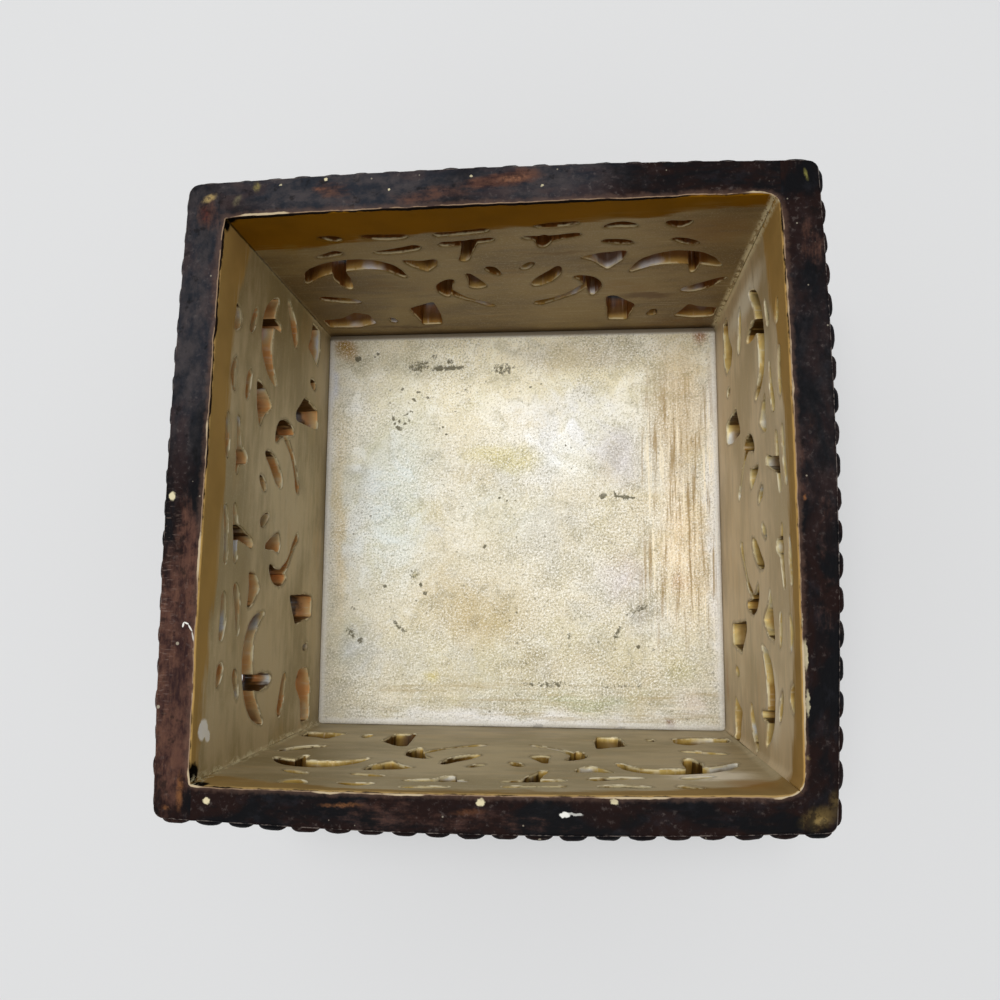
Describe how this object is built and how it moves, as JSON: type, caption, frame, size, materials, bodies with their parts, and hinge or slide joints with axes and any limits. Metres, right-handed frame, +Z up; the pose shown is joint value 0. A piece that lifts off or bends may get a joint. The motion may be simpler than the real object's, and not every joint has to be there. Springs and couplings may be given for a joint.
{
  "type": "trinket box",
  "caption": "Small square open box of thick stained wood boards, pierced with foliate fretwork, with a bead border below the rim and a silvered inside.",
  "frame": {"origin": "middle of the underside, on the surface that the box stands on", "axes": "+Z up, +Y towards the rear board, +X towards the right board"},
  "size_m": [0.1266, 0.1266, 0.081],
  "materials": {
    "boards": "dark stained wood, worn at the arrises, with a silvered and amber lacquered inner face",
    "floor": "wood board with a mottled silver and pale gold metallic paint",
    "brads": "dull steel brads set below the face"
  },
  "bodies": {
    "root": {"floor_board": "floor", "rear_board": "boards", "left_board": "boards", "front_board": "boards", "right_board": "boards", "left_corner_brad_1": "brads", "left_corner_brad_2": "brads", "left_corner_brad_3": "brads", "left_corner_brad_4": "brads", "right_corner_brad_1": "brads", "right_corner_brad_2": "brads", "right_corner_brad_3": "brads", "right_corner_brad_4": "brads", "rear_floor_brad_1": "brads", "rear_floor_brad_2": "brads", "left_floor_brad_1": "brads", "left_floor_brad_2": "brads", "front_floor_brad_1": "brads", "front_floor_brad_2": "brads", "right_floor_brad_1": "brads", "right_floor_brad_2": "brads"}
  },
  "joints": []
}
